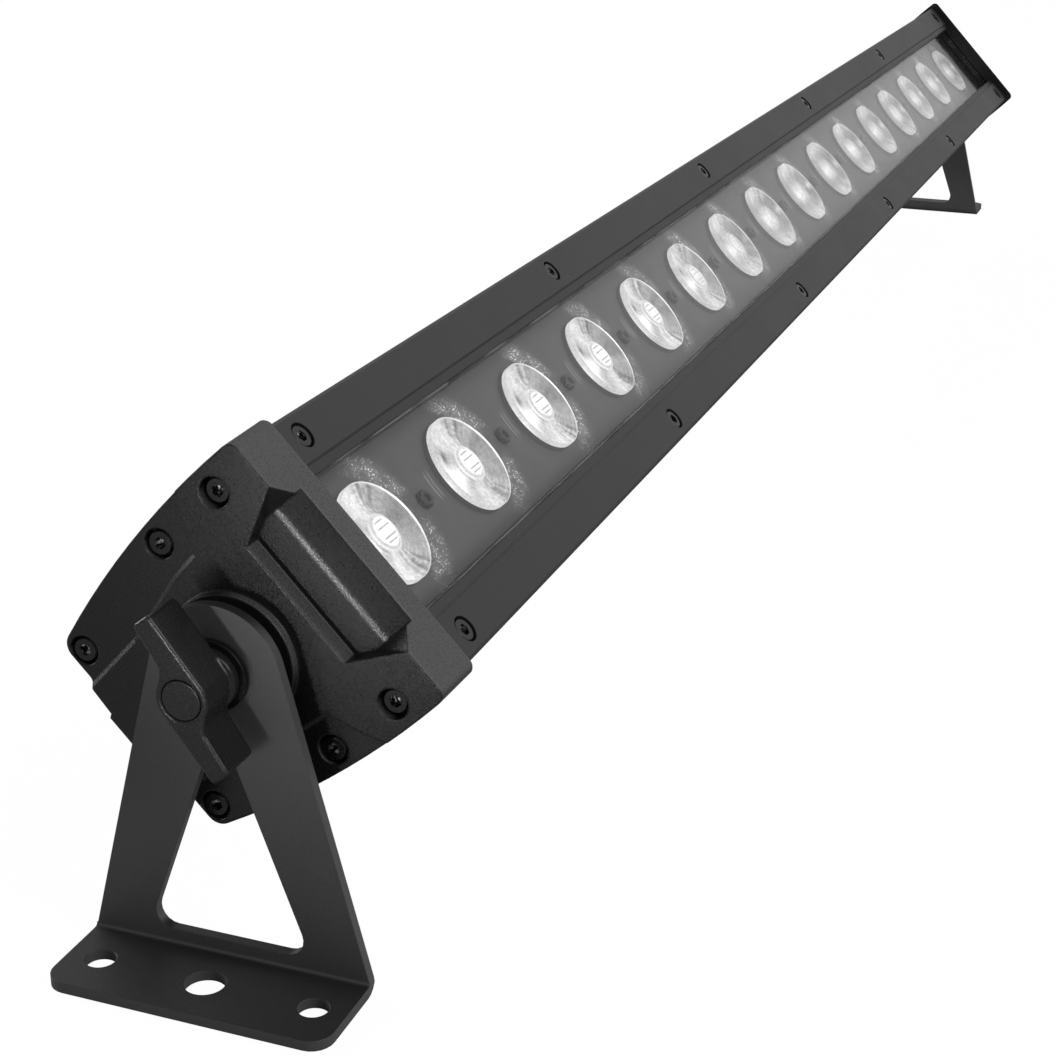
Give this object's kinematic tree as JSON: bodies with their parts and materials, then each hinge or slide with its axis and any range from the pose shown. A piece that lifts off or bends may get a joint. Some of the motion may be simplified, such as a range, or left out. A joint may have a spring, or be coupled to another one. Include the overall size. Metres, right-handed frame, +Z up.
{
  "type": "wall washer light",
  "caption": "Linear outdoor wall washer light: a black aluminium bar with a row of round lenses behind a glass strip, tilting between two folded steel brackets with wing knobs.",
  "frame": {"origin": "middle hole of the near bracket's foot, on the surface that the feet stand on", "axes": "+X along the bar from the near bracket to the far one, +Z up, and the glass faces up and towards -Y"},
  "size_m": [1.0648, 0.1097, 0.1445],
  "materials": {
    "body_coat": "black powder coat",
    "bracket_coat": "satin",
    "knob_coat": "satin",
    "front_glass": "polished",
    "lens_clear": "polished",
    "mask_grey": "matte",
    "board_white": "gloss",
    "board_green": "gloss",
    "parts_dark": "matte",
    "emitter": "gloss",
    "post_brass": "satin",
    "steel": "brushed",
    "screw_black": "satin",
    "rubber_black": "matte",
    "gland_black": "matte"
  },
  "bodies": {
    "luminaire": {"housing": "body_coat", "led_boards": "board_white", "led_emitters": "emitter", "lenses": "lens_clear", "lens_holders": "mask_grey", "mask_plate": "mask_grey", "mask_posts": "post_brass", "mask_screws": "screw_black", "glass_gasket": "rubber_black", "front_glass": "front_glass", "bezel_upper": "body_coat", "bezel_lower": "body_coat", "bezel_screws": "screw_black", "end_cap_near": "body_coat", "end_cap_far": "body_coat", "cap_gasket_near": "rubber_black", "cap_gasket_far": "rubber_black", "cap_screws_near": "screw_black", "cap_screws_far": "screw_black", "pivot_bush_near": "post_brass", "pivot_bush_far": "post_brass", "driver_board": "board_green", "driver_parts": "parts_dark", "control_board": "board_green", "board_standoffs": "post_brass", "cable_gland_near": "gland_black", "cable_gland_far": "gland_black", "vent_plug": "gland_black"},
    "near_bracket": {"bracket_near": "bracket_coat", "friction_disc_near": "rubber_black"},
    "far_bracket": {"bracket_far": "bracket_coat", "friction_disc_far": "rubber_black"},
    "near_knob": {"knob_washer_near": "steel", "wing_knob_near": "knob_coat", "knob_stud_near": "steel", "knob_disc_near": "knob_coat"},
    "far_knob": {"knob_washer_far": "steel", "wing_knob_far": "knob_coat", "knob_stud_far": "steel", "knob_disc_far": "knob_coat"}
  },
  "joints": [
    {"name": "near_bracket_tilt", "type": "hinge", "parent": "luminaire", "child": "near_bracket", "pos_m": [0.0152, 0, 0.085], "axis": [1, 0, 0], "range_deg": [-110, 110]},
    {"name": "far_bracket_tilt", "type": "hinge", "parent": "luminaire", "child": "far_bracket", "pos_m": [1.0226, 0, 0.085], "axis": [1, 0, 0], "range_deg": [-110, 110]},
    {"name": "near_knob_turn", "type": "hinge", "parent": "luminaire", "child": "near_knob", "pos_m": [0.005, 0, 0.085], "axis": [1, 0, 0], "range_deg": [0, 270]},
    {"name": "far_knob_turn", "type": "hinge", "parent": "luminaire", "child": "far_knob", "pos_m": [1.0328, 0, 0.085], "axis": [-1, 0, 0], "range_deg": [0, 270]}
  ]
}
